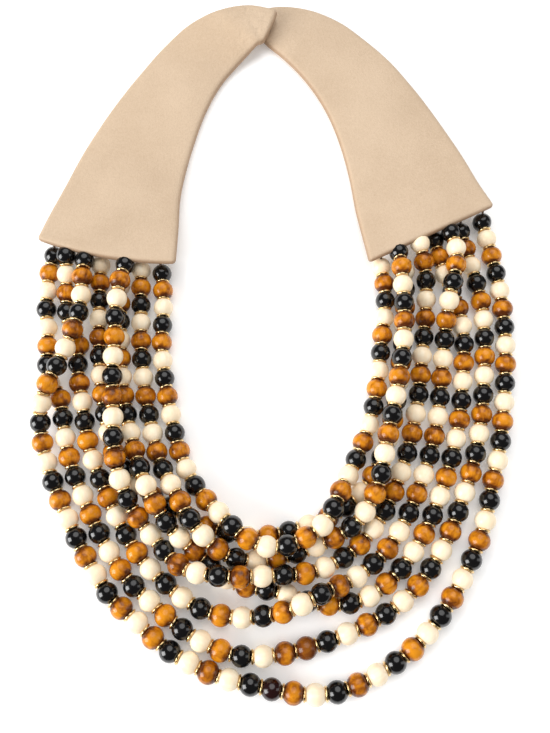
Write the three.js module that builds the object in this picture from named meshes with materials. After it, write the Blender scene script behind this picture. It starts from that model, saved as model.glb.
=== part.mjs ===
import * as THREE from 'three';
import { mergeVertices } from 'three/addons/utils/BufferGeometryUtils.js';

// Bib necklace: eight strings of round beads between two padded leather wings, lying flat.
// Millimetres, +Z up, bead side towards -Y. The box's bottom centre is the origin.

// Beads and the small metal discs between them
const beadDiameter = 7.8;
const discDiameter = 4.8;
const beadSides = 10;
const beadShoulder = 0.19;
const discInset = 0.1;
const threadDiameter = 1.0;
const threadLength = 1.4;
const stringClearance = 0.25;

// Leather wings
const wingThickness = 3.6;
const wingPuff = 0.5;
const rolledEdge = { atLip: 0.3, halfway: 0.78, halfwayIn: 0.3 };
const wingRise = 120;
const leftWingReach = 90;
const rightWingReach = 92;
const wingEndHeight = 5.6;
const wingEndY = 41;
const collarX = -4;
const seatGap = 0.3;

// Snap fastener hidden between the overlapping tips
const snapDiameter = 7;
const snapThickness = 1.2;
const snapPlace = { across: 0.05, up: 0.95 };

const tipHeight = wingThickness + wingPuff + snapThickness + 2 * seatGap;

// A wing's sections from the bead end to the tip. Across is a share of the wing's reach out from
// the collar, up a share of its rise, lift a share of the wing's raised height, bow in millimetres.
const leftWingSections = [
  { outerAcross: 0.993, outerUp: 0.078, innerAcross: 0.386, innerUp: -0.004, lift: 1, bow: -2.8 },
  { outerAcross: 0.967, outerUp: 0.175, innerAcross: 0.384, innerUp: 0.117, lift: 0.35, bow: -0.8 },
  { outerAcross: 0.922, outerUp: 0.288, innerAcross: 0.384, innerUp: 0.233, lift: 0, bow: 0 },
  { outerAcross: 0.861, outerUp: 0.408, innerAcross: 0.364, innerUp: 0.342, lift: 0, bow: 0 },
  { outerAcross: 0.789, outerUp: 0.521, innerAcross: 0.328, innerUp: 0.463, lift: 0, bow: 0 },
  { outerAcross: 0.706, outerUp: 0.633, innerAcross: 0.276, innerUp: 0.592, lift: 0, bow: 0 },
  { outerAcross: 0.606, outerUp: 0.75, innerAcross: 0.206, innerUp: 0.708, lift: 0, bow: 0 },
  { outerAcross: 0.494, outerUp: 0.861, innerAcross: 0.139, innerUp: 0.782, lift: 0.15, bow: 0 },
  { outerAcross: 0.367, outerUp: 0.958, innerAcross: 0.076, innerUp: 0.838, lift: 0.6, bow: 0 },
  { outerAcross: 0.233, outerUp: 0.999, innerAcross: 0.039, innerUp: 0.86, lift: 1, bow: 0 },
  { outerAcross: 0.111, outerUp: 1.008, innerAcross: 0.02, innerUp: 0.868, lift: 1, bow: 1.5 },
  { outerAcross: 0.022, outerUp: 1.002, innerAcross: 0.01, innerUp: 0.875, lift: 1, bow: 4.5 },
];
const rightWingSections = [
  { outerAcross: 0.992, outerUp: 0.199, innerAcross: 0.439, innerUp: -0.001, lift: 1, bow: 0 },
  { outerAcross: 0.957, outerUp: 0.283, innerAcross: 0.424, innerUp: 0.092, lift: 0.35, bow: 0 },
  { outerAcross: 0.902, outerUp: 0.396, innerAcross: 0.4, innerUp: 0.192, lift: 0, bow: 0 },
  { outerAcross: 0.835, outerUp: 0.504, innerAcross: 0.374, innerUp: 0.325, lift: 0, bow: 0 },
  { outerAcross: 0.761, outerUp: 0.608, innerAcross: 0.337, innerUp: 0.45, lift: 0, bow: 0 },
  { outerAcross: 0.674, outerUp: 0.711, innerAcross: 0.283, innerUp: 0.573, lift: 0, bow: 0 },
  { outerAcross: 0.582, outerUp: 0.807, innerAcross: 0.217, innerUp: 0.671, lift: 0, bow: 0 },
  { outerAcross: 0.473, outerUp: 0.894, innerAcross: 0.141, innerUp: 0.754, lift: 0, bow: 0 },
  { outerAcross: 0.348, outerUp: 0.972, innerAcross: 0.065, innerUp: 0.823, lift: 0, bow: 0 },
  { outerAcross: 0.212, outerUp: 1.023, innerAcross: 0.005, innerUp: 0.867, lift: 0, bow: 0 },
  { outerAcross: 0.076, outerUp: 1.025, innerAcross: -0.043, innerUp: 0.904, lift: 0, bow: 0 },
  { outerAcross: -0.054, outerUp: 1.003, innerAcross: -0.109, innerUp: 0.933, lift: 0, bow: 1.5 },
];

// The strings, each with its seats as shares across the wings' ends from outer to inner corner,
// the few plan points that it is laid through, its bead count and its layer in the pile.
const strings = [
  {
    name: 'string_outer', beads: 58, layer: 5, beaded: true, leftSeat: 0.35, rightSeat: 0.08,
    route: [[-74.5, 18.5], [-84.5, -23], [-80, -44.5], [-55.5, -83.5], [-49.5, -87.5], [-33, -102],
      [15, -117], [43, -106], [59, -90.5], [74, -65], [80.5, -43.5], [84, -30], [88.5, 29]],
  },
  {
    name: 'string_second', beads: 53, layer: 1, beaded: true, leftSeat: 0.11, rightSeat: 0.26,
    route: [[-88.5, 37], [-87.5, 15.5], [-86, -7], [-81, -13], [-72.5, -42.5], [-50, -83],
      [-25, -103.5], [-10, -106.5], [44.5, -87], [69.5, -47.5], [77.5, -19], [79.5, 11], [80.5, 25]],
  },
  {
    name: 'string_third', beads: 48, layer: 2.5, beaded: true, leftSeat: 0.21, rightSeat: 0.36,
    route: [[-82.5, 22.5], [-80, 15.5], [-75, 9.5], [-74.5, -4.5], [-58.5, -56], [-31.5, -86.5],
      [-10, -91.5], [35.5, -71.5], [50, -54], [60.5, -27], [63.5, -4.5], [69.5, 36.5], [70.5, 43.5]],
  },
  {
    name: 'string_fourth', beads: 46, layer: 1, beaded: false, leftSeat: 0.587, rightSeat: 0.46,
    route: [[-59.5, -12], [-55, -26], [-51, -40], [-28.5, -70.5], [-10.5, -81], [10, -84],
      [21.5, -86.5], [29, -84.5], [47.5, -71.5], [59, -52.5], [68.5, -25], [71, -10.5],
      [72.5, 19.5], [68.5, 27]],
  },
  {
    name: 'string_fifth', beads: 42, layer: 4, beaded: false, leftSeat: 0.645, rightSeat: 0.595,
    route: [[-60.5, 28.5], [-50, -57.5], [-25, -75.5], [4, -75.5], [26, -69.5], [37.5, -60],
      [44.5, -47.5], [53, -19.5], [59.5, 25.5]],
  },
  {
    name: 'string_under', beads: 38, layer: 0, beaded: false, leftSeat: 0.44, rightSeat: 0.695,
    route: [[-69.5, 18.5], [-65.5, -10.5], [-61, -33], [-39.5, -55], [0, -67.5], [27, -55],
      [41.5, -29.5], [51.5, 21]],
  },
  {
    name: 'string_sixth', beads: 39, layer: 2, beaded: false, leftSeat: 0.735, rightSeat: 0.76,
    route: [[-48.5, -28], [-23, -67], [-11, -73.5], [-4, -73], [11, -71.5], [23.5, -65],
      [32.5, -55.5], [39.5, -35], [46.5, -8], [50, 20]],
  },
  {
    name: 'string_inner', beads: 36, layer: 3, beaded: true, leftSeat: 0.885, rightSeat: 0.9,
    route: [[-44, 23.5], [-44.5, 1.5], [-37.5, -35.5], [-20, -60], [-0.5, -69], [18.5, -62],
      [22.5, -57], [28.5, -44.5], [40, -10], [44.5, 26.5]],
  },
];

// Where the beads are too many to be cut one by one, a string is a plain tube
const tubeDiameter = 6.8;
const tubeSides = 8;
const tubeStep = 2 * beadDiameter;

// How the strings come to rest on each other
const settling = {
  step: 2.5, layerHeight: 7, nearby: 1.4, sink: 0.2, homeward: 0.06,
  passes: 500, pushesEach: 3, straighten: 0.5, easePasses: 150, ease: 0.1, lastPasses: 200,
};
const arcDivisions = 1500;

const stringReach = beadDiameter + stringClearance;
const beadRadius = beadDiameter / 2;

// A closed skin over rings of equal length, with a fan over each end.
function skinOver(rings) {
  const positions = [];
  const index = [];
  const around = rings[0].length;
  for (const ring of rings) {
    for (const point of ring) positions.push(point.x, point.y, point.z);
  }
  for (let row = 0; row < rings.length - 1; row += 1) {
    for (let k = 0; k < around; k += 1) {
      const a = row * around + k;
      const b = row * around + ((k + 1) % around);
      index.push(a, b, b + around, a, b + around, a + around);
    }
  }
  const last = (rings.length - 1) * around;
  for (let k = 1; k < around - 1; k += 1) {
    index.push(0, k + 1, k);
    index.push(last, last + k, last + k + 1);
  }
  const geometry = new THREE.BufferGeometry();
  geometry.setAttribute('position', new THREE.Float32BufferAttribute(positions, 3));
  geometry.setIndex(index);
  return geometry;
}

// The two corners and the raised height of each wing section, in millimetres.
function wingRows(sections, reach, side, tipLift) {
  return sections.map((row, k) => {
    const place = (across, up) =>
      new THREE.Vector3(collarX + side * across * reach, wingEndY + up * wingRise, 0);
    const raised = k < sections.length / 2 ? wingEndHeight : tipLift;
    return {
      outer: place(row.outerAcross, row.outerUp),
      inner: place(row.innerAcross, row.innerUp),
      lift: row.lift * raised,
      bow: row.bow,
      fullness: 1,
    };
  });
}

// A section's outline: flat underside, half-round rolled edges and a softly padded top.
function wingSection(row, bowDirection) {
  const span = row.outer.clone().sub(row.inner);
  const width = span.length();
  const across = span.normalize();
  const half = (wingThickness * row.fullness) / 2;
  const middle = row.lift + wingThickness / 2;
  const shares = [0, 0.25, 0.5, 0.75, 1];
  const ring = [];
  const add = (reach, height) => {
    const share = reach / width;
    const bend = row.bow * 4 * share * (1 - share);
    ring.push(new THREE.Vector3(
      row.inner.x + across.x * reach + bowDirection.x * bend,
      row.inner.y + across.y * reach + bowDirection.y * bend,
      height,
    ));
  };
  for (const share of shares) add(half + share * (width - 2 * half), middle - half);
  for (const turn of [-45, 0, 45]) {
    const angle = THREE.MathUtils.degToRad(turn);
    add(width - half + half * Math.cos(angle), middle + half * Math.sin(angle));
  }
  for (const share of [...shares].reverse()) {
    const padding = wingPuff * row.fullness * Math.sin(Math.PI * share);
    add(half + share * (width - 2 * half), middle + half + padding);
  }
  for (const turn of [45, 0, -45]) {
    const angle = THREE.MathUtils.degToRad(turn);
    add(half - half * Math.cos(angle), middle + half * Math.sin(angle));
  }
  return ring;
}

// Two extra rows turn each end of the wing over into a rolled edge.
function withRolledEnds(rows) {
  const radius = wingThickness / 2;
  const inward = (from, to, distance, fullness) => ({
    ...from,
    outer: from.outer.clone().add(to.outer.clone().sub(from.outer).setLength(distance)),
    inner: from.inner.clone().add(to.inner.clone().sub(from.inner).setLength(distance)),
    fullness,
  });
  const first = rows[0];
  const last = rows[rows.length - 1];
  const second = rows[1];
  const beforeLast = rows[rows.length - 3];
  return [
    { ...first, fullness: rolledEdge.atLip },
    inward(first, second, radius * rolledEdge.halfwayIn, rolledEdge.halfway),
    inward(first, second, radius, 1),
    ...rows.slice(1, -1),
    inward(last, beforeLast, radius * rolledEdge.halfwayIn, rolledEdge.halfway),
    { ...last, fullness: rolledEdge.atLip },
  ];
}

function wingGeometry(rows, side) {
  const full = withRolledEnds(rows);
  const rings = full.map((row, k) => {
    const before = full[Math.max(k - 1, 0)];
    const after = full[Math.min(k + 1, full.length - 1)];
    const onward = after.outer.clone().add(after.inner).sub(before.outer).sub(before.inner);
    const ring = wingSection(row, onward.setZ(0).normalize());
    return side < 0 ? ring : ring.reverse();
  });
  return skinOver(rings);
}

// Lays the strings down in their layers: each sinks until it rests on the surface or on the
// strings under it, and neighbours push each other aside by no more than they need.
function settleStrings(laid) {
  const points = [];
  for (const string of laid) {
    const plan = string.plan.map(([x, y]) => new THREE.Vector3(x, y, 0));
    const curve = new THREE.CatmullRomCurve3(plan, false, 'centripetal');
    curve.arcLengthDivisions = arcDivisions;
    const count = Math.round(curve.getLength() / settling.step);
    string.points = curve.getSpacedPoints(count).map((home, k) => ({
      at: home.clone().setZ(beadRadius + string.layer * settling.layerHeight),
      home,
      string,
      fixed: k === 0 || k === count,
    }));
    points.push(...string.points);
  }
  const pairs = [];
  for (let i = 0; i < points.length; i += 1) {
    for (let j = i + 1; j < points.length; j += 1) {
      const [a, b] = [points[i], points[j]];
      if (a.string === b.string) continue;
      const away = Math.hypot(a.home.x - b.home.x, a.home.y - b.home.y);
      if (away < settling.nearby * stringReach) pairs.push([a, b]);
    }
  }
  const apart = new THREE.Vector3();
  const move = (point, amount) => {
    if (point.fixed) point.at.z += amount * apart.z;
    else point.at.addScaledVector(apart, amount);
    point.at.z = Math.max(point.at.z, beadRadius);
  };
  const pushApart = () => {
    for (const [a, b] of pairs) {
      apart.subVectors(b.at, a.at);
      const distance = apart.length();
      if (distance < stringReach) {
        const share = (stringReach - distance) / distance / 2;
        move(a, -share);
        move(b, share);
      }
    }
  };
  const straighten = (strength) => {
    for (const { points: chain } of laid) {
      for (let k = 1; k < chain.length - 1; k += 1) {
        const [a, p, b] = [chain[k - 1], chain[k], chain[k + 1]];
        p.at.z += strength * ((a.at.z + b.at.z) / 2 - p.at.z);
        for (const axis of ['x', 'y']) {
          const drift = (a.at[axis] - a.home[axis] + b.at[axis] - b.home[axis]) / 2;
          p.at[axis] += strength * (drift - (p.at[axis] - p.home[axis]));
        }
      }
    }
  };
  for (let pass = 0; pass < settling.passes; pass += 1) {
    for (const point of points) {
      point.at.z = Math.max(beadRadius, point.at.z - settling.sink);
      if (!point.fixed) {
        point.at.x += settling.homeward * (point.home.x - point.at.x);
        point.at.y += settling.homeward * (point.home.y - point.at.y);
      }
    }
    straighten(settling.straighten);
    for (let again = 0; again < settling.pushesEach; again += 1) pushApart();
  }
  for (let pass = 0; pass < settling.easePasses; pass += 1) {
    straighten(settling.ease);
    pushApart();
  }
  for (let pass = 0; pass < settling.lastPasses; pass += 1) pushApart();
}

// A ring of points square to the string's direction.
function ringAcross(centre, direction, radius, sides) {
  const sideways = new THREE.Vector3(0, 0, 1).cross(direction).normalize();
  const upward = direction.clone().cross(sideways).normalize();
  const ring = [];
  for (let k = 0; k < sides; k += 1) {
    const angle = (2 * Math.PI * (k + 0.5)) / sides;
    ring.push(centre.clone()
      .addScaledVector(sideways, radius * Math.cos(angle))
      .addScaledVector(upward, radius * Math.sin(angle)));
  }
  return ring;
}

// A string of beads as one turned body: a waist at each disc, a shoulder on either side of a
// bead, and a short thread that runs into the wing at both ends.
function beadedGeometry(string) {
  const curve = new THREE.CatmullRomCurve3(string.points.map((point) => point.at));
  curve.arcLengthDivisions = arcDivisions;
  const pitch = 1 / string.beads;
  const ringAt = (share, radius) =>
    ringAcross(curve.getPointAt(share), curve.getTangentAt(share), radius, beadSides);
  const threadRing = (seat) => ringAcross(seat.at, seat.along, threadDiameter / 2, beadSides);
  const endInset = discInset * pitch;
  const rings = [
    threadRing(string.leftEnd),
    ringAt(0, threadDiameter / 2),
    ringAt(endInset, discDiameter / 2),
  ];
  for (let bead = 0; bead < string.beads; bead += 1) {
    const centre = (bead + 0.5) * pitch;
    rings.push(ringAt(centre - beadShoulder * pitch, beadRadius));
    rings.push(ringAt(centre + beadShoulder * pitch, beadRadius));
    const isLast = bead === string.beads - 1;
    rings.push(ringAt(isLast ? 1 - endInset : (bead + 1) * pitch, discDiameter / 2));
  }
  rings.push(ringAt(1, threadDiameter / 2));
  rings.push(threadRing(string.rightEnd));
  return skinOver(rings);
}

// A plain tube along a string's way, square to the wing and a seat's gap off it at both ends.
function tubeGeometry(string) {
  const way = string.points.map((point) => point.at);
  const toWing = threadLength - seatGap;
  way.unshift(way[0].clone().addScaledVector(string.leftEnd.along, -toWing));
  way.push(way[way.length - 1].clone().addScaledVector(string.rightEnd.along, toWing));
  const curve = new THREE.CatmullRomCurve3(way);
  curve.arcLengthDivisions = arcDivisions;
  const section = new THREE.Shape();
  for (let k = 0; k < tubeSides; k += 1) {
    const angle = (2 * Math.PI * (k + 0.5)) / tubeSides;
    const corner = [(tubeDiameter / 2) * Math.cos(angle), (tubeDiameter / 2) * Math.sin(angle)];
    if (k === 0) section.moveTo(...corner);
    else section.lineTo(...corner);
  }
  section.closePath();
  const steps = Math.round(curve.getLength() / tubeStep);
  const geometry = new THREE.ExtrudeGeometry(section, { steps, bevelEnabled: false, extrudePath: curve });
  geometry.deleteAttribute('normal');
  geometry.deleteAttribute('uv');
  return mergeVertices(geometry, 1e-4);
}

const leather = { color: 0xdfc1a0, roughness: 0.62, metalness: 0 };
const beads = { color: 0x3a2a1c, roughness: 0.3, metalness: 0 };
const metal = { color: 0xd9b36a, roughness: 0.3, metalness: 1 };

function piece(name, geometry, finish) {
  const mesh = new THREE.Mesh(geometry, new THREE.MeshStandardMaterial(finish));
  mesh.name = name;
  return mesh;
}

const leftRows = wingRows(leftWingSections, leftWingReach, -1, tipHeight);
const rightRows = wingRows(rightWingSections, rightWingReach, 1, 0);

const necklace = new THREE.Group();
necklace.add(piece('wing_left', wingGeometry(leftRows, -1), leather));
necklace.add(piece('wing_right', wingGeometry(rightRows, 1), leather));

const snap = piece('snap_fastener', new THREE.CylinderGeometry(
  snapDiameter / 2, snapDiameter / 2, snapThickness, 16,
), metal);
snap.rotation.x = Math.PI / 2;
snap.position.set(
  collarX - snapPlace.across * leftWingReach,
  wingEndY + snapPlace.up * wingRise,
  wingThickness + wingPuff + seatGap + snapThickness / 2,
);
necklace.add(snap);

// A place off the wing's bead end, at a share of its width and a distance from its edge.
function seatOn(rows, share, distance, towardsWing) {
  const { outer, inner, bow } = rows[0];
  const onward = rows[1].outer.clone().add(rows[1].inner).sub(outer).sub(inner).setZ(0).normalize();
  const edge = inner.clone().sub(outer).addScaledVector(onward, bow * 4 * (1 - 2 * share));
  const square = new THREE.Vector3(0, 0, 1).cross(edge).normalize();
  if (square.dot(onward) < 0) square.negate();
  const at = outer.clone().lerp(inner, share);
  at.addScaledVector(onward, bow * 4 * share * (1 - share)).addScaledVector(square, -distance);
  at.setZ(wingEndHeight + wingThickness / 2);
  return { at, along: square.multiplyScalar(towardsWing) };
}

const laid = strings.map((string) => {
  const start = seatOn(leftRows, string.leftSeat, threadLength, -1).at;
  const end = seatOn(rightRows, string.rightSeat, threadLength, 1).at;
  return {
    ...string,
    plan: [[start.x, start.y], ...string.route, [end.x, end.y]],
    leftEnd: seatOn(leftRows, string.leftSeat, seatGap, -1),
    rightEnd: seatOn(rightRows, string.rightSeat, seatGap, 1),
  };
});
settleStrings(laid);
for (const string of laid) {
  const geometry = string.beaded ? beadedGeometry(string) : tubeGeometry(string);
  necklace.add(piece(string.name, geometry, beads));
}

// The box's bottom centre is the origin.
const box = new THREE.Box3().setFromObject(necklace);
const centre = box.getCenter(new THREE.Vector3());
necklace.position.set(-centre.x, -centre.y, -box.min.z);

export default necklace;
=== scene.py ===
import math
import random

import bmesh
import bpy
import numpy as np
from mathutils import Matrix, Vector


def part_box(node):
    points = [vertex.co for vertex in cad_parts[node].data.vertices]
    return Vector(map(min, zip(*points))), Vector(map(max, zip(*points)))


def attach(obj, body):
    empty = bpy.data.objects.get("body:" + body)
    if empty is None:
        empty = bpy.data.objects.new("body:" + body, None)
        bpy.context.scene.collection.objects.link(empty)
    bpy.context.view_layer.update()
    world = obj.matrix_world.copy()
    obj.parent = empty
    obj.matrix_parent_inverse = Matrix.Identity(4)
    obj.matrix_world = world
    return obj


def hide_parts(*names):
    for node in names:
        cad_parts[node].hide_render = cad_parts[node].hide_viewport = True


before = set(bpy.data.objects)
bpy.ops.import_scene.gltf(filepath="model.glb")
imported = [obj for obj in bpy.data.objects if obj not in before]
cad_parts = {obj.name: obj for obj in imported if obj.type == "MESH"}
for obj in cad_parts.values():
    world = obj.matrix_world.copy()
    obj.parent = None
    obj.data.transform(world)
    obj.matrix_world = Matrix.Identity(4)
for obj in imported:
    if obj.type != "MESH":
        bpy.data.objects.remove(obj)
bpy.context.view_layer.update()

# Leather wings.
# Two curved collar wings of soft beige leather turned over a thin padding, edges rolled and
# pressed flat. The left tip laps over the right one, where the snap holds them at the nape.

MM = 0.001


def smooth_through(points, count):
    """A smooth run of count even places through a few points."""
    points = np.asarray(points, float)
    steps = np.linalg.norm(np.diff(points, axis=0), axis=1)
    at = np.concatenate([[0], np.cumsum(steps)])
    slopes = np.diff(points, axis=0) / steps[:, None]
    tangents = np.empty_like(points)
    tangents[0], tangents[-1] = slopes[0], slopes[-1]
    before, after = steps[:-1, None], steps[1:, None]
    tangents[1:-1] = (after * slopes[:-1] + before * slopes[1:]) / (before + after)
    t = np.linspace(0, at[-1], count)
    k = np.clip(np.searchsorted(at, t, side="right") - 1, 0, len(steps) - 1)
    h, u = steps[k][:, None], ((t - at[k]) / steps[k])[:, None]
    return ((1 + 2 * u) * (1 - u) ** 2 * points[k] + u * (1 - u) ** 2 * h * tangents[k]
            + u * u * (3 - 2 * u) * points[k + 1] + u * u * (u - 1) * h * tangents[k + 1])


def length_run(points):
    """How far along a run of points each one lies."""
    return np.concatenate([[0], np.cumsum(np.linalg.norm(np.diff(points, axis=0), axis=1))])


def new_group(name, inputs, outputs, tree="ShaderNodeTree"):
    group = bpy.data.node_groups.new(name, tree)
    for direction, sockets in (("INPUT", inputs), ("OUTPUT", outputs)):
        for socket_name, kind, value in sockets:
            socket = group.interface.new_socket(socket_name, in_out=direction, socket_type=kind)
            if value is not None:
                socket.default_value = value
    return group


class Wiring:
    """Adds nodes to a tree and joins them; a value that is a socket is linked, any other is set."""

    def __init__(self, tree):
        self.tree = tree

    def put(self, socket, value):
        if isinstance(value, bpy.types.NodeSocket):
            self.tree.links.new(value, socket)
        else:
            socket.default_value = value

    def node(self, kind, settings=None, **inputs):
        """A node whose inputs are given by name, or by i and a number where names repeat."""
        node = self.tree.nodes.new(kind)
        for key, value in (settings or {}).items():
            setattr(node, key, value)
        for key, value in inputs.items():
            wanted = key.replace("_", " ").lower()
            socket = node.inputs[int(key[1:])] if key[0] == "i" and key[1:].isdigit() else next(
                s for s in node.inputs if s.name.lower() == wanted and s.enabled)
            self.put(socket, value)
        return node

    def math(self, operation, a, b=0.0, clamp=False):
        settings = {"operation": operation, "use_clamp": clamp}
        return self.node("ShaderNodeMath", settings, i0=a, i1=b).outputs[0]

    def vector_math(self, operation, a, output="Vector", **inputs):
        return self.node("ShaderNodeVectorMath", {"operation": operation}, i0=a, **inputs).outputs[output]

    def sum_of(self, a, share_a, b, share_b):
        return self.math("ADD", self.math("MULTIPLY", a, share_a), self.math("MULTIPLY", b, share_b))

    def mix(self, share, a, b):
        node = self.node("ShaderNodeMix", {"data_type": "RGBA"})
        self.put(node.inputs[0], share)
        self.put(node.inputs[6], a)
        self.put(node.inputs[7], b)
        return node.outputs[2]

    def between(self, value, low, high, to_low=0.0, to_high=1.0):
        return self.node("ShaderNodeMapRange", {"interpolation_type": "SMOOTHSTEP"}, value=value,
                         from_min=low, from_max=high, to_min=to_low, to_max=to_high).outputs[0]

    def noise(self, vector, scale, detail=3.0, roughness=0.5, distortion=0.0):
        return self.node("ShaderNodeTexNoise", vector=vector, scale=scale, detail=detail,
                         roughness=roughness, distortion=distortion).outputs["Fac"]

    def attribute(self, name, output="Fac"):
        return self.node("ShaderNodeAttribute", {"attribute_name": name}).outputs[output]

    def object_place(self):
        return self.node("ShaderNodeTexCoord").outputs["Object"]

    def bump(self, height, strength, distance, **under):
        return self.node("ShaderNodeBump", Strength=strength, Distance=distance, Height=height,
                         **under).outputs[0]


def material(name, **uniform):
    made = bpy.data.materials.new(name)
    made.use_nodes = True
    shader = made.node_tree.nodes["Principled BSDF"]
    for key, value in uniform.items():
        shader.inputs[key.replace("_", " ")].default_value = value
    return made, Wiring(made.node_tree), shader


# Fine dust and handling marks, used on the leather, the metal and every bead
handling = new_group(
    "Handling marks",
    [("Place", "NodeSocketVector", None), ("Spot size", "NodeSocketFloat", 1.0),
     ("Amount", "NodeSocketFloat", 0.3)],
    [("Mask", "NodeSocketFloat", None)])
w = Wiring(handling)
given = w.node("NodeGroupInput").outputs
smudge_scale = w.math("DIVIDE", 300.0, given["Spot size"])
speck_scale = w.math("DIVIDE", 2600.0, given["Spot size"])
smudges = w.noise(given["Place"], smudge_scale, detail=4.0, roughness=0.6)
specks = w.noise(given["Place"], speck_scale, detail=2.0, roughness=0.7)
marks = w.between(w.sum_of(smudges, 0.7, specks, 0.3), 0.42, 0.68)
w.put(w.node("NodeGroupOutput").inputs["Mask"], w.math("MULTIPLY", marks, given["Amount"], clamp=True))


def handled(wiring, place, spot_size, amount):
    return wiring.node("ShaderNodeGroup", {"node_tree": handling}, Place=place, Spot_size=spot_size,
                       Amount=amount).outputs[0]


LEATHER_LIGHT = (0.635, 0.483, 0.338, 1)
LEATHER_DEEP = (0.535, 0.396, 0.268, 1)
# The deep brown of painted shade, used in the grain's creases and along the rolled rim
LEATHER_PAINTED_SHADE = (0.33, 0.2, 0.115, 1)
PORE_SCALE, PORE_WANDER_SCALE, PORE_WANDER = 1500.0, 900.0, 0.6 * MM
PUCKER_NEAR, PUCKER_FAR = 12 * MM, 34 * MM
snap_low, snap_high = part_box("snap_fastener")
lap_middle = [(low + high) / 2 for low, high in zip(snap_low, snap_high)]

leather, w, shader = material("Beige leather", Roughness=0.5, Sheen_Weight=0.05, Sheen_Roughness=0.5,
                              Specular_IOR_Level=0.35)
place = w.object_place()
mottle = w.between(w.noise(place, 38.0, detail=4.0, roughness=0.55), 0.3, 0.72)
pebble = w.between(w.noise(place, 1000.0, roughness=0.6), 0.32, 0.68)
skin = w.mix(w.sum_of(mottle, 0.6, pebble, 0.32), LEATHER_DEEP, LEATHER_LIGHT)
wander = w.node("ShaderNodeTexNoise", vector=place, scale=PORE_WANDER_SCALE).outputs["Color"]
wandered = w.vector_math("ADD", place, i1=w.vector_math("SCALE", wander, scale=PORE_WANDER))
pores = w.node("ShaderNodeTexVoronoi", {"feature": "DISTANCE_TO_EDGE"}, vector=wandered, scale=PORE_SCALE)
creases = w.between(pores.outputs[0], 0.0, 0.16)
# Painted shade: the grain's creases are darkened a little towards a deep brown
skin = w.mix(w.math("MULTIPLY", w.math("SUBTRACT", 1.0, creases), 0.16), skin, LEATHER_PAINTED_SHADE)
# Painted shade along the rolled rim of each wing, strongest at the very edge
painted_rim_shade = w.math("MULTIPLY", w.between(w.attribute("rim"), 0.5, 1.0), 0.8)
skin = w.mix(painted_rim_shade, skin, LEATHER_PAINTED_SHADE)
worn = handled(w, place, spot_size=9.0, amount=0.35)
w.put(shader.inputs["Base Color"], w.mix(w.math("MULTIPLY", worn, 0.3), skin, LEATHER_LIGHT))
w.put(shader.inputs["Roughness"], w.between(creases, 0.0, 1.0, 0.62, 0.42))
ripple = w.bump(w.noise(place, 70.0), strength=0.3, distance=0.5 * MM)
from_lap = w.vector_math("DISTANCE", place, "Value", i1=lap_middle)
pulled = w.between(from_lap, PUCKER_NEAR, PUCKER_FAR, 0.7, 0.0)
folds = w.noise(place, 240.0, detail=2.0, roughness=0.45, distortion=0.6)
pucker = w.bump(folds, strength=pulled, distance=0.9 * MM, Normal=ripple)
grain = w.sum_of(creases, 0.6, pebble, 1.0)
w.put(shader.inputs["Normal"], w.bump(grain, strength=0.45, distance=0.1 * MM, Normal=pucker))


def piece(name, mesh, finish, record_slot, *nodes):
    """A visible piece that stands for the given nodes; a finish of None is left as it is. record_slot is
    not used.
    """
    thing = bpy.data.objects.new(name, mesh)
    bpy.context.scene.collection.objects.link(thing)
    if finish:
        mesh.materials.clear()
        mesh.materials.append(finish)
    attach(thing, "root")
    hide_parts(*nodes)


# Sizes in millimetres. COLLAR_X is the line that the wings' shares across are taken from, and
# BEAD_END_Y the line that their shares up are taken from.
THICK, PUFF, PUFF_POWER = 3.6, 0.5, 0.8
RISE, BEAD_END_Y, BEAD_END_HEIGHT = 120.0, 41.0, 8.4
COLLAR_X, SEAT_GAP = -4.0, 0.3
SNAP_THICK, SNAP_ACROSS, SNAP_UP = 1.2, 0.05, 0.95
TIP_HEIGHT = THICK + PUFF + SNAP_THICK + 2 * SEAT_GAP
CORNER, RIM_WIDTH = 1.6, 1.9
THINNEST_END = 0.12
ROWS_TRACED, ROWS_ALONG, END_ROWS = 400, 120, (0, 0.06, 0.15, 0.3, 0.5, 0.75)
UNDER_POINTS, TOP_POINTS, TURN_POINTS = 22, 30, 7
# How uneven the top is, how far in from the rim and above the middle it is fully so, and its waves:
# how fast each turns across and up, where it starts, and its share of the height
UNEVEN, CALM_RIM, CALM_RISE = 0.11, 5.0, 1.5
WAVES = ((0.11, 0.05, 0.3, 0.5), (-0.07, 0.13, 1.9, 0.45), (0.21, -0.12, 4.1, 0.25), (0.05, 0.27, 2.2, 0.2))
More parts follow.
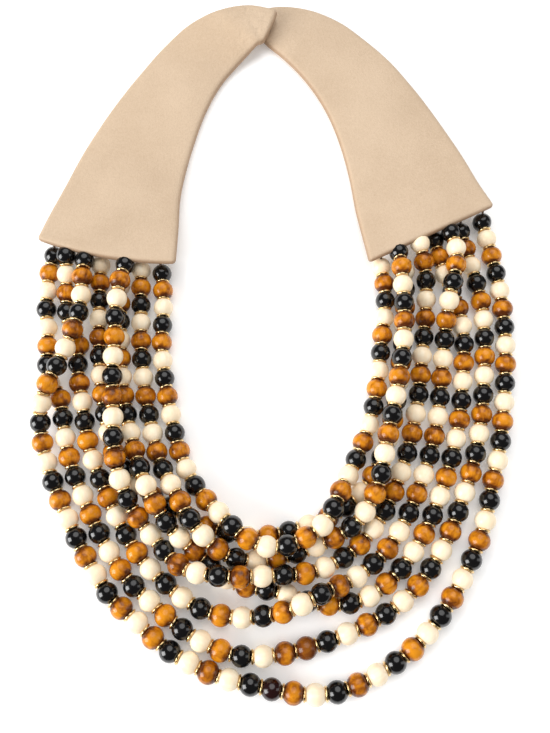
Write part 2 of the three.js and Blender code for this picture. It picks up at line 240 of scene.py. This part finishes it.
# Sections from the bead end to the tip: the outer edge across and up, the inner edge across and up,
# the lift, and the bow in millimetres. Across is a share of the wing's reach, up is a share of RISE,
# and lift is a share of the height that the nearer end is raised to.
wings = {
    "wing_left": {"side": -1, "reach": 90.0, "tip": TIP_HEIGHT, "sections": [
        (0.996, 0.066, 0.386, -0.018, 1.0, -2.8), (0.957, 0.175, 0.384, 0.117, 0.66, -0.8),
        (0.91, 0.288, 0.386, 0.233, 0.34, 0.0), (0.857, 0.408, 0.37, 0.342, 0.1, 0.0),
        (0.789, 0.521, 0.336, 0.463, 0.0, 0.0), (0.706, 0.633, 0.285, 0.592, 0.0, 0.0),
        (0.606, 0.75, 0.214, 0.708, 0.0, 0.0), (0.494, 0.86, 0.139, 0.78, 0.15, 0.0),
        (0.367, 0.941, 0.076, 0.822, 0.6, 0.0), (0.233, 0.983, 0.039, 0.84, 1.0, 0.0),
        (0.085, 1.006, 0.024, 0.844, 1.0, 0.5), (-0.058, 0.985, 0.013, 0.851, 1.0, 0.8)]},
    "wing_right": {"side": 1, "reach": 92.0, "tip": 0.0, "sections": [
        (0.994, 0.187, 0.442, -0.015, 1.0, 0.0), (0.945, 0.283, 0.42, 0.092, 0.66, 0.0),
        (0.893, 0.396, 0.4, 0.192, 0.34, 0.0), (0.832, 0.504, 0.379, 0.325, 0.1, 0.0),
        (0.761, 0.608, 0.346, 0.45, 0.0, 0.0), (0.676, 0.711, 0.294, 0.573, 0.0, 0.0),
        (0.585, 0.807, 0.231, 0.671, 0.0, 0.0), (0.476, 0.894, 0.158, 0.754, 0.0, 0.0),
        (0.35, 0.976, 0.079, 0.823, 0.0, 0.0), (0.212, 1.027, 0.018, 0.867, 0.0, 0.0),
        (0.076, 1.043, -0.03, 0.904, 0.0, 0.0), (-0.054, 1.025, -0.1, 0.933, 0.0, 1.5)]},
}
SNAP_PLACE = (COLLAR_X - SNAP_ACROSS * wings["wing_left"]["reach"], BEAD_END_Y + SNAP_UP * RISE)
ORIGIN = np.array(lap_middle[:2]) / MM - SNAP_PLACE


def rounded(distance, radius):
    """How far a round edge of that radius has come up at a distance in from its lip, from 0 to 1."""
    left = np.clip(1 - distance / radius, 0, 1)
    return np.sqrt(1 - left ** 2)


def wing_rows(side, reach, tip, sections):
    """Outer and inner edge, lift and bow at close stations along a wing, and their lengths run."""
    rows = []
    for k, (outer_x, outer_y, inner_x, inner_y, lift, bow) in enumerate(sections):
        height = BEAD_END_HEIGHT if k < len(sections) / 2 else tip
        rows.append((COLLAR_X + side * outer_x * reach, BEAD_END_Y + outer_y * RISE,
                     COLLAR_X + side * inner_x * reach, BEAD_END_Y + inner_y * RISE, lift * height, bow))
    rows = smooth_through(rows, ROWS_TRACED)
    rows[:, 4] = np.maximum(rows[:, 4], 0)
    along = length_run((rows[:, :2] + rows[:, 2:4]) / 2)
    lip = THICK / 2 * np.array(END_ROWS)
    full = np.linspace(THICK / 2, along[-1] - THICK / 2, ROWS_ALONG)
    stops = np.concatenate([lip, full, along[-1] - lip[::-1]])
    return np.stack([np.interp(stops, along, column) for column in rows.T], 1), stops


def wing_ring(row, ahead, end):
    """The points round one section of a wing, and how near its rim each one lies, from 0 to 1."""
    outer, inner, lift, bow = row[:2], row[2:4], row[4], row[5]
    width = np.linalg.norm(outer - inner)
    way = (outer - inner) / width
    cut = CORNER * (1 - rounded(end, CORNER))
    half = THICK / 2 * max(rounded(end, THICK / 2), THINNEST_END)
    low, high = cut + half, width - cut - half
    turn = np.radians(np.linspace(-90, 90, TURN_POINTS + 2)[1:-1])
    reached = np.concatenate([np.linspace(low, high, UNDER_POINTS), high + half * np.cos(turn),
                              np.linspace(high, low, TOP_POINTS), low - half * np.cos(turn)])
    share = np.clip((reached - low) / (high - low), 0, 1)
    pad = PUFF * (half / (THICK / 2)) * np.sin(np.pi * share) ** PUFF_POWER
    top_start = UNDER_POINTS + TURN_POINTS
    rise = np.concatenate([np.full(UNDER_POINTS, -half), half * np.sin(turn),
                           np.full(TOP_POINTS, half) + pad[top_start:top_start + TOP_POINTS],
                           half * np.sin(turn[::-1])])
    share = reached / width
    x, y = (inner + way * reached[:, None] + ahead * (bow * 4 * share * (1 - share))[:, None]).T
    from_rim = np.minimum(np.minimum(reached - cut, width - cut - reached), end)
    waves = sum(np.sin(x * across + y * up + start) * height for across, up, start, height in WAVES)
    top = np.clip(rise / CALM_RISE, 0, 1) * np.clip(from_rim / CALM_RIM, 0, 1)
    z = lift + THICK / 2 + rise + waves * UNEVEN * top
    return (np.stack([x + ORIGIN[0], y + ORIGIN[1], z], 1) * MM,
            np.clip(1 - from_rim / RIM_WIDTH, 0, 1))


def leather_wing(node, side, reach, tip, sections):
    """A wing's skin: flat under, half-round rolled edges, and a softly padded, slightly uneven top."""
    rows, stops = wing_rows(side, reach, tip, sections)
    onward = np.gradient((rows[:, :2] + rows[:, 2:4]) / 2, axis=0)
    onward /= np.linalg.norm(onward, axis=1, keepdims=True)
    from_end = np.minimum(stops, stops[-1] - stops)
    rings = [wing_ring(*station) for station in zip(rows, onward, from_end)]
    vertices = np.concatenate([points for points, near in rings])
    index = np.arange(len(vertices)).reshape(len(rings), -1)
    faces = [quad for low, high in zip(index, index[1:]) for quad in zip(
        low.tolist(), np.roll(low, -1).tolist(), np.roll(high, -1).tolist(), high.tolist())]
    faces += [tuple(index[0][::-1].tolist()), tuple(index[-1].tolist())]
    mesh = bpy.data.meshes.new(node + "_leather")
    mesh.from_pydata(vertices.tolist(), [], faces)
    mesh.attributes.new("rim", "FLOAT", "POINT").data.foreach_set(
        "value", np.concatenate([near for points, near in rings]).astype(np.float32))
    shell = bmesh.new()
    shell.from_mesh(mesh)
    bmesh.ops.recalc_face_normals(shell, faces=shell.faces)
    shell.to_mesh(mesh)
    shell.free()
    mesh.polygons.foreach_set("use_smooth", [True] * len(mesh.polygons))
    piece(node + "_leather", mesh, leather, "leather", node)


for node, wing in wings.items():
    leather_wing(node, **wing)

# Snap fastener.
# A pressed brass disc sewn between the lapped tips; only its edge could ever be seen.

BRASS_BRIGHT, BRASS_DULL = (0.72, 0.5, 0.2, 1), (0.45, 0.3, 0.12, 1)
snap_brass, w, shader = material("Snap brass", Metallic=1.0)
worn = handled(w, w.object_place(), spot_size=4.0, amount=0.6)
w.put(shader.inputs["Base Color"], w.mix(worn, BRASS_BRIGHT, BRASS_DULL))
w.put(shader.inputs["Roughness"], w.between(worn, 0.0, 1.0, 0.25, 0.5))
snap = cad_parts["snap_fastener"]
snap.data.materials.clear()
snap.data.materials.append(snap_brass)

# Bead finishes.
# Three kinds of turned bead: lacquered black, polished amber-brown wood with streaky grain, and
# smooth ivory-coloured wood. Each carries its own place and shade, so no two show the same grain.


def bead_finish(name, **uniform):
    """A bead's material, with a place that no other bead shares, the bead's shade and its marks."""
    made, wiring, bsdf = material(name, **uniform)
    shade = wiring.attribute("shade")
    shift = wiring.node("ShaderNodeCombineXYZ", X=wiring.math("MULTIPLY", shade, 0.9),
                        Y=wiring.math("MULTIPLY", shade, 0.37), Z=0.0).outputs[0]
    own = wiring.vector_math("ADD", wiring.attribute("bead_place", "Vector"), i1=shift)
    return made, wiring, bsdf, own, shade, handled(wiring, own, spot_size=1.0, amount=0.5)


BLACK, BLACK_REDDISH = (0.0025, 0.0022, 0.0024, 1), (0.014, 0.0016, 0.0016, 1)
black, w, shader, _, shade, marks = bead_finish("Black lacquer", Specular_IOR_Level=0.5,
                                                Coat_Weight=0.3, Coat_Roughness=0.1)
w.put(shader.inputs["Base Color"], w.mix(w.between(shade, 0.9, 1.0), BLACK, BLACK_REDDISH))
w.put(shader.inputs["Roughness"], w.between(marks, 0.0, 0.5, 0.15, 0.23))

WOOD_LIGHT = (0.68, 0.248, 0.008, 1)
WOOD_MID = (0.37, 0.108, 0.003, 1)
WOOD_DARK = (0.09, 0.02, 0.002, 1)
WOOD_STAINED = (0.13, 0.032, 0.005, 1)
GRAIN_STRETCH = (1.0, 0.45, 0.45)
ENDS_DARKEN_FROM, ENDS_DARKEN_TO, ENDS_DARKER = 1.2 * MM, 3.4 * MM, 0.24
wood, w, shader, own, shade, marks = bead_finish("Amber wood", Specular_IOR_Level=0.3,
                                                 Coat_Weight=0.15, Coat_Roughness=0.12)
stretched = w.node("ShaderNodeMapping", vector=own, scale=GRAIN_STRETCH).outputs[0]
streaks = w.noise(stretched, 800.0, detail=2.0, distortion=0.5)
clouds = w.noise(own, 200.0, detail=2.0, distortion=0.4)
tone = w.math("ADD", w.sum_of(streaks, 0.38, clouds, 0.5), 0.135)
tone = w.math("SUBTRACT", tone, w.math("MULTIPLY", shade, 0.12))
# Each wood bead is darker towards both ends along its hole
in_bead = w.node("ShaderNodeSeparateXYZ", vector=w.attribute("bead_place", "Vector"))
up_the_hole = w.math("ABSOLUTE", in_bead.outputs["Z"])
darker_ends = w.between(up_the_hole, ENDS_DARKEN_FROM, ENDS_DARKEN_TO, 0.0, ENDS_DARKER)
tone = w.math("SUBTRACT", tone, darker_ends)
body = w.mix(w.between(tone, 0.3, 0.48), WOOD_DARK, WOOD_MID)
body = w.mix(w.between(tone, 0.42, 0.62), body, WOOD_LIGHT)
dark_one = w.math("MULTIPLY", w.between(shade, 0.94, 1.0), 0.72)
w.put(shader.inputs["Base Color"], w.mix(dark_one, body, WOOD_STAINED))
w.put(shader.inputs["Roughness"], w.between(marks, 0.0, 0.5, 0.2, 0.32))
w.put(shader.inputs["Normal"], w.bump(streaks, strength=0.25, distance=0.08 * MM))

CREAM_DEEP, CREAM_LIGHT = (0.98, 0.8, 0.555, 1), (1.0, 0.875, 0.665, 1)
CREAM_AGED = (0.97, 0.755, 0.485, 1)
VEIN_STRETCH = (1.0, 1.0, 0.3)
ivory, w, shader, own, shade, marks = bead_finish("Ivory wood", Specular_IOR_Level=0.4,
                                                  Coat_Weight=0.1, Coat_Roughness=0.2)
veins = w.noise(w.node("ShaderNodeMapping", vector=own, scale=VEIN_STRETCH).outputs[0], 620.0)
cream = w.mix(w.between(veins, 0.35, 0.7), CREAM_DEEP, CREAM_LIGHT)
w.put(shader.inputs["Base Color"], w.mix(w.math("MULTIPLY", shade, 0.25), cream, CREAM_AGED))
w.put(shader.inputs["Roughness"], w.between(marks, 0.0, 0.5, 0.32, 0.48))

# Gold discs and thread.
# A thin dished metal disc sits between each two beads, and a waxed brown thread runs through
# them all and is caught between the two layers of the wings.

GOLD_BRIGHT, GOLD_DEEP = (0.96, 0.72, 0.38, 1), (0.83, 0.56, 0.24, 1)
gold, w, shader = material("Gold disc", Metallic=1.0)
worn = handled(w, w.attribute("bead_place", "Vector"), spot_size=0.7, amount=0.7)
w.put(shader.inputs["Base Color"], w.mix(w.attribute("shade"), GOLD_BRIGHT, GOLD_DEEP))
w.put(shader.inputs["Roughness"], w.between(worn, 0.0, 0.7, 0.16, 0.34))

THREAD_DARK, THREAD_LIGHT = (0.05, 0.028, 0.018, 1), (0.13, 0.08, 0.05, 1)
waxed, w, shader = material("Waxed thread")
twist = w.noise(w.object_place(), 1800.0, detail=2.0)
w.put(shader.inputs["Base Color"], w.mix(twist, THREAD_DARK, THREAD_LIGHT))
w.put(shader.inputs["Roughness"], w.between(twist, 0.2, 0.8, 0.5, 0.75))


def turned(name, profile, sides):
    """A closed round shape turned about Z from (height, radius) pairs in millimetres."""
    shell = bmesh.new()
    turns = [2 * math.pi * k / sides for k in range(sides)]
    rings = [[shell.verts.new((r * MM * math.cos(turn), r * MM * math.sin(turn), z * MM))
              for turn in turns] for z, r in profile]
    for low, high in zip(rings, rings[1:]):
        for k in range(sides):
            n = (k + 1) % sides
            shell.faces.new((low[k], low[n], high[n], high[k]))
    shell.faces.new(rings[0][::-1])
    shell.faces.new(rings[-1])
    mesh = bpy.data.meshes.new(name)
    shell.to_mesh(mesh)
    shell.free()
    own_place = mesh.attributes.new("bead_place", "FLOAT_VECTOR", "POINT")
    own_place.data.foreach_set("vector", np.array([v.co[:] for v in mesh.vertices], np.float32).reshape(-1))
    return bpy.data.objects.new(name, mesh)


# Millimetres; the flat is what is left of a bead's end, and the dish is where the hole opens
BEAD_LENGTH, BEAD_ACROSS, BEAD_FLAT = 7.05, 7.8, 3.3
WOOD_LENGTH, WOOD_ACROSS, WOOD_FLAT = 6.8, 8.1, 4.2
DISH_DEPTH, DISH_RADIUS = 0.3, 0.6
DISC_HALF = ((-0.45, 2.0), (-0.42, 2.5), (0.0, 2.78), (0.42, 2.5), (0.45, 2.0))
DISC_DISH_HEIGHT, DISC_DISH_RADIUS = 0.2, 0.7
TURNED_SIDES, BEAD_STEPS = 16, 7


def bead_profile(length, across, flat):
    """Half-round sides between two flat ends, closed by a shallow dish where the hole opens."""
    end = math.acos(flat / across)
    sides = [(length / 2 * math.sin(a) / math.sin(end), across / 2 * math.cos(a))
             for a in np.linspace(-end, end, BEAD_STEPS + 1)]
    dish = length / 2 - DISH_DEPTH
    return [(-dish, DISH_RADIUS), *sides, (dish, DISH_RADIUS)]


disc_profile = [(-DISC_DISH_HEIGHT, DISC_DISH_RADIUS), *DISC_HALF, (DISC_DISH_HEIGHT, DISC_DISH_RADIUS)]
round_bead = turned("round_bead", bead_profile(BEAD_LENGTH, BEAD_ACROSS, BEAD_FLAT), TURNED_SIDES)
wood_bead = turned("wood_bead", bead_profile(WOOD_LENGTH, WOOD_ACROSS, WOOD_FLAT), TURNED_SIDES)
disc_shape = turned("disc_shape", disc_profile, TURNED_SIDES)

# Strings of beads.
# Eight strings hang from wing to wing, each with its own run of black, wood and ivory beads.
# They lie in loose layers, and where each one lies is read off its solid.

threading = new_group(
    "Threaded pieces",
    [("Geometry", "NodeSocketGeometry", None), ("Shape", "NodeSocketObject", None),
     ("Letter", "NodeSocketInt", 0), ("Askew", "NodeSocketFloat", 0.0),
     ("Size spread", "NodeSocketFloat", 0.0), ("Seed", "NodeSocketInt", 1),
     ("Finish", "NodeSocketMaterial", None)],
    [("Geometry", "NodeSocketGeometry", None)], "GeometryNodeTree")
w = Wiring(threading)
given = w.node("NodeGroupInput").outputs
letter = w.node("GeometryNodeInputNamedAttribute", {"data_type": "INT"}, Name="letter").outputs[0]
wanted = w.node("FunctionNodeCompare", {"data_type": "INT", "operation": "EQUAL"})
w.put(wanted.inputs[2], letter)
w.put(wanted.inputs[3], given["Letter"])
heading = w.node("GeometryNodeInputNamedAttribute", {"data_type": "FLOAT_VECTOR"}, Name="heading")
facing = w.node("FunctionNodeAlignRotationToVector", {"axis": "Z"}, Vector=heading.outputs[0]).outputs[0]
askew = w.node("ShaderNodeCombineXYZ", X=given["Askew"], Y=given["Askew"], Z=math.pi).outputs[0]
loose = w.node("FunctionNodeRandomValue", {"data_type": "FLOAT_VECTOR"}, Seed=given["Seed"],
               Min=w.vector_math("SCALE", askew, scale=-1.0), Max=askew).outputs[0]
turn = w.node("FunctionNodeEulerToRotation", Euler=loose).outputs[0]
facing = w.node("FunctionNodeRotateRotation", {"rotation_space": "LOCAL"}, Rotation=facing, Rotate_By=turn)
least_size = w.math("SUBTRACT", 1.0, given["Size spread"])
size_seed = w.math("ADD", given["Seed"], 17.0)
size = w.node("FunctionNodeRandomValue", {"data_type": "FLOAT"}, Min=least_size, Max=1.0, Seed=size_seed)
shape = w.node("GeometryNodeObjectInfo", {"transform_space": "ORIGINAL"}, Object=given["Shape"],
               As_Instance=True)
strung = w.node("GeometryNodeInstanceOnPoints", Points=given["Geometry"], Selection=wanted.outputs[0],
                Instance=shape.outputs["Geometry"], Rotation=facing.outputs[0], Scale=size.outputs[1])
solid = w.node("GeometryNodeRealizeInstances", Geometry=strung.outputs[0])
finished = w.node("GeometryNodeSetMaterial", Geometry=solid.outputs[0], Material=given["Finish"])
shaded = w.node("GeometryNodeSetShadeSmooth", Geometry=finished.outputs[0])
w.put(w.node("NodeGroupOutput").inputs["Geometry"], shaded.outputs[0])

THREAD_SIDES = 6
drawing = new_group(
    "Drawn thread",
    [("Geometry", "NodeSocketGeometry", None), ("Across", "NodeSocketFloat", 0.001),
     ("Finish", "NodeSocketMaterial", None)],
    [("Geometry", "NodeSocketGeometry", None)], "GeometryNodeTree")
w = Wiring(drawing)
given = w.node("NodeGroupInput").outputs
line = w.node("GeometryNodeMeshToCurve", Mesh=given["Geometry"]).outputs[0]
section = w.node("GeometryNodeCurvePrimitiveCircle", {"mode": "RADIUS"}, Resolution=THREAD_SIDES,
                 Radius=w.math("DIVIDE", given["Across"], 2.0)).outputs[0]
tube = w.node("GeometryNodeCurveToMesh", Curve=line, Profile_Curve=section, Fill_Caps=True).outputs[0]
solid = w.node("GeometryNodeRealizeInstances", Geometry=tube)
finished = w.node("GeometryNodeSetMaterial", Geometry=solid.outputs[0], Material=given["Finish"])
w.put(w.node("NodeGroupOutput").inputs["Geometry"], finished.outputs[0])


def grown(name, base, tree, **inputs):
    """A plain mesh that a node tree makes on a base mesh."""
    holder = bpy.data.objects.new(name + "_base", base)
    bpy.context.scene.collection.objects.link(holder)
    modifier = holder.modifiers.new(tree.name, "NODES")
    modifier.node_group = tree
    sockets = {s.name: s.identifier for s in tree.interface.items_tree if s.in_out == "INPUT"}
    for key, value in inputs.items():
        modifier[sockets[key.replace("_", " ")]] = value
    graph = bpy.context.evaluated_depsgraph_get()
    mesh = bpy.data.meshes.new_from_object(
        holder.evaluated_get(graph), preserve_all_data_layers=True, depsgraph=graph)
    holder.modifiers.clear()
    bpy.data.objects.remove(holder)
    mesh.name = name
    return mesh


WELD, END_REACH, SAME_WAY = 0.002 * MM, 8 * MM, 0.9999


def middles_of(node):
    """The middles of the rings round a string's solid, from its end at the left wing to the right."""
    shell = bmesh.new()
    shell.from_mesh(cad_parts[node].data)
    bmesh.ops.remove_doubles(shell, verts=shell.verts, dist=WELD)
    shell.normal_update()
    top = max((v for v in shell.verts if v.co.x < 0), key=lambda v: v.co.y)
    near = [f for f in shell.faces if (f.calc_center_median() - top.co).length < END_REACH]
    flat = max(near, key=lambda f: sum(g.normal.dot(f.normal) > SAME_WAY for g in near)).normal.copy()
    ring = {v for f in near if f.normal.dot(flat) > SAME_WAY for v in f.verts}
    seen, middles = set(), []
    while ring:
        middles.append(np.mean([v.co[:] for v in ring], axis=0))
        seen |= ring
        ring = {e.other_vert(v) for v in ring for e in v.link_edges} - seen
    shell.free()
    return middles


# The first and last beads are tucked under the soft edge of the wing, none with its middle above
# END_HEIGHT: over the last END_RUN, a string that lies higher is eased down to it.
TUCK, END_HEIGHT, END_RUN = 1.6 * MM, 8.0 * MM, 12.0 * MM
WAY_POINTS, END_WAY_POINTS = 1200, 8


def way_of(node, bead_count):
    """The close points of a string's way, from inside one wing's edge to inside the other's, and how
    far along it each one lies, measured before its ends are eased down."""
    middles = middles_of(node)
    beaded = len(middles) > 2 * bead_count
    if beaded:
        middles = middles[1:-1]
    way = smooth_through(middles, WAY_POINTS)
    first, last = [way[k] + (way[k] - way[k + step]) / np.linalg.norm(way[k] - way[k + step]) * TUCK
                   for k, step in ((0, END_WAY_POINTS), (-1, -END_WAY_POINTS))]
    way = np.concatenate([[first], way, [last]])
    along = length_run(way)
    near_end = np.clip(1 - np.minimum(along, along[-1] - along) / END_RUN, 0, 1)
    way[:, 2] -= np.maximum(way[:, 2] - END_HEIGHT, 0) * near_end ** 2 * (3 - 2 * near_end)
    return way, along


def path_mesh(name, points):
    mesh = bpy.data.meshes.new(name)
    mesh.from_pydata(points.tolist(), [(k, k + 1) for k in range(len(points) - 1)], [])
    return mesh


# K black, W wood, I ivory, from the left wing to the right; w is a darker wood bead, k a black
# one with a red-brown cast, and a dash bare thread where an upper string hides it
charts = {
    "string_outer": "KWIKWIKWIKWIKWIKWIKWIWKIWIKkWIKWIKWIKWIKWIKWIKWIKWIKWIKWIK",
    "string_second": "KWIKIWKIWKIWKIWKIWKIWKIWKIWwKIWKIWKIWKIWKIWKIWKIWKIWK",
    "string_third": "KIWKIWKWIKWIKWIKWIKIKWIKWIKWIKWIKWIKWIKWIKWIKWIK",
    "string_fourth": "-IWKIWIWKIWKIWKIWKIWKIKWKIWKIWKIWKIWKIWKIWKIWK",
    "string_fifth": "KWIKWIKWIKWIKWIKWIKWIKWIKWIKWIKWIKWIKWIKWI",
    "string_under": "IWKIWKIWKIWKIWKIWKIWKIWKIWKIWKIWKIWKI-",
    "string_sixth": "IWKIWKIWKIWKIWKIWKIWKIWKIWKIWKIWKIWKIWK",
    "string_inner": "KWIKWIKWIKWIKWIKWIKWIKWIKWIKWIKWIKWI",
}
DISC, NOTHING = 0, -1
letters = {"K": (1, round_bead, black, "black_beads"), "W": (2, wood_bead, wood, "wood_beads"),
           "I": (3, round_bead, ivory, "ivory_beads")}
BEAD_SPREAD, DISC_SPREAD = 0.02, 0.04
BEAD_TILT, DISC_TILT = math.radians(3), math.radians(7)
COMMON_SHADES, RARE_SHADE = 0.88, 1.0
SEEDS_A_STRING = 10
WING_MIDDLE = (BEAD_END_HEIGHT + THICK / 2) * MM
THREAD_ACROSS, INTO_WING = 1.0 * MM, 1.5 * MM
draw = random.Random(11)

for order, (node, chart) in enumerate(charts.items()):
    way, along = way_of(node, len(chart))
    stops = np.linspace(0, along[-1], 2 * len(chart) + 1)
    at = np.stack([np.interp(stops, along, way[:, axis]) for axis in range(3)], 1)
    heading = np.gradient(at, axis=0)
    heading /= np.linalg.norm(heading, axis=1, keepdims=True)
    beads = path_mesh(node + "_path", at)
    codes = [DISC] * len(stops)
    codes[0] = codes[-1] = NOTHING
    shades = [draw.random() * COMMON_SHADES for _ in stops]
    for k, bead in enumerate(chart):
        codes[2 * k + 1] = NOTHING if bead == "-" else letters[bead.upper()][0]
        if bead.islower():
            shades[2 * k + 1] = RARE_SHADE
    beads.attributes.new("letter", "INT", "POINT").data.foreach_set("value", codes)
    beads.attributes.new("shade", "FLOAT", "POINT").data.foreach_set("value", shades)
    beads.attributes.new("heading", "FLOAT_VECTOR", "POINT").data.foreach_set(
        "vector", heading.astype(np.float32).reshape(-1))
    for code, shape, finish, record_slot in letters.values():
        mesh = grown(f"{node}_{record_slot}", beads, threading, Shape=shape, Letter=code, Askew=BEAD_TILT,
                     Size_spread=BEAD_SPREAD, Seed=SEEDS_A_STRING * order + code, Finish=finish)
        piece(mesh.name, mesh, None, record_slot, node)
    mesh = grown(node + "_discs", beads, threading, Shape=disc_shape, Letter=DISC, Askew=DISC_TILT,
                 Size_spread=DISC_SPREAD, Seed=SEEDS_A_STRING * order, Finish=gold)
    piece(mesh.name, mesh, None, "discs", node)
    seats = []
    for end, onward in ((at[0], heading[0]), (at[-1], -heading[-1])):
        seat = end - onward * np.array([1, 1, 0]) * INTO_WING
        seat[2] = WING_MIDDLE
        seats.append(seat)
    line = path_mesh(node + "_line", np.concatenate([[seats[0]], at[1:-1], [seats[1]]]))
    mesh = grown(node + "_thread", line, drawing, Across=THREAD_ACROSS, Finish=waxed)
    piece(mesh.name, mesh, None, None, node)

for shape in (round_bead, wood_bead, disc_shape):
    bpy.data.objects.remove(shape)

# Floor, light and camera.
# The necklace lies on a pale sheet between a bright, low window at the left and a dim one at the
# right, under a soft round light overhead, and is seen from above its lower edge.


def grey(level):
    return (level, level, level, 1)


FLOOR_SIZE = 2.4
paper, w, shader = material("Pale floor", Roughness=0.85, Emission_Color=grey(1), Emission_Strength=0.16)
w.put(shader.inputs["Base Color"], w.mix(w.noise(w.object_place(), 4.0), grey(0.93), grey(0.96)))
bpy.ops.mesh.primitive_plane_add(size=FLOOR_SIZE, location=(0, 0, 0))
floor = bpy.context.object
floor.name = "floor"
floor.data.materials.append(paper)

VIEW_TILT = math.radians(15)
VIEW_DISTANCE = 273 * MM
LOOKED_AT = Vector((0.28 * MM, -21.61 * MM, 0.0))
IMAGE_HIGH, FOCAL_PIXELS, SENSOR = 733, 700, 36
seen_from = bpy.data.cameras.new("camera")
seen_from.sensor_width = SENSOR
seen_from.lens = SENSOR * FOCAL_PIXELS / IMAGE_HIGH
seen_from.clip_start = 10 * MM
camera = bpy.data.objects.new("camera", seen_from)
camera.location = LOOKED_AT + VIEW_DISTANCE * Vector((0, -math.sin(VIEW_TILT), math.cos(VIEW_TILT)))
camera.rotation_euler = (VIEW_TILT, 0, 0)
bpy.context.scene.collection.objects.link(camera)
bpy.context.scene.camera = camera

LIGHT_DISTANCE = 1.4


def soft_box(name, direction, width, height, watts, outline="RECTANGLE"):
    lamp = bpy.data.lights.new(name, "AREA")
    lamp.shape = outline
    lamp.size, lamp.size_y = width, height
    lamp.energy = watts
    thing = bpy.data.objects.new(name, lamp)
    direction = Vector(direction).normalized()
    thing.location = direction * LIGHT_DISTANCE
    thing.rotation_euler = (-direction).to_track_quat("-Z", "Y").to_euler()
    bpy.context.scene.collection.objects.link(thing)


soft_box("window_light", (-0.85, -0.32, 0.42), width=0.75, height=0.95, watts=19.5)
soft_box("overhead_light", (0.05, 0.55, 0.83), width=1.5, height=1.5, watts=11.5, outline="ELLIPSE")
soft_box("side_light", (0.94, -0.07, 0.33), width=0.5, height=1.2, watts=2.5)

# What polished pieces mirror of the room, what it adds to the shade, and the backdrop
MIRRORED, FILL, BACKDROP = grey(0.11), grey(0.56), grey(0.93)
world = bpy.data.worlds.new("studio")
world.use_nodes = True
w = Wiring(world.node_tree)
ray = w.node("ShaderNodeLightPath").outputs
room = w.mix(ray["Is Diffuse Ray"], MIRRORED, FILL)
sky = world.node_tree.nodes["Background"]
w.put(sky.inputs["Color"], w.mix(ray["Is Camera Ray"], room, BACKDROP))
bpy.context.scene.world = world
bpy.context.scene.view_settings.view_transform = "Standard"
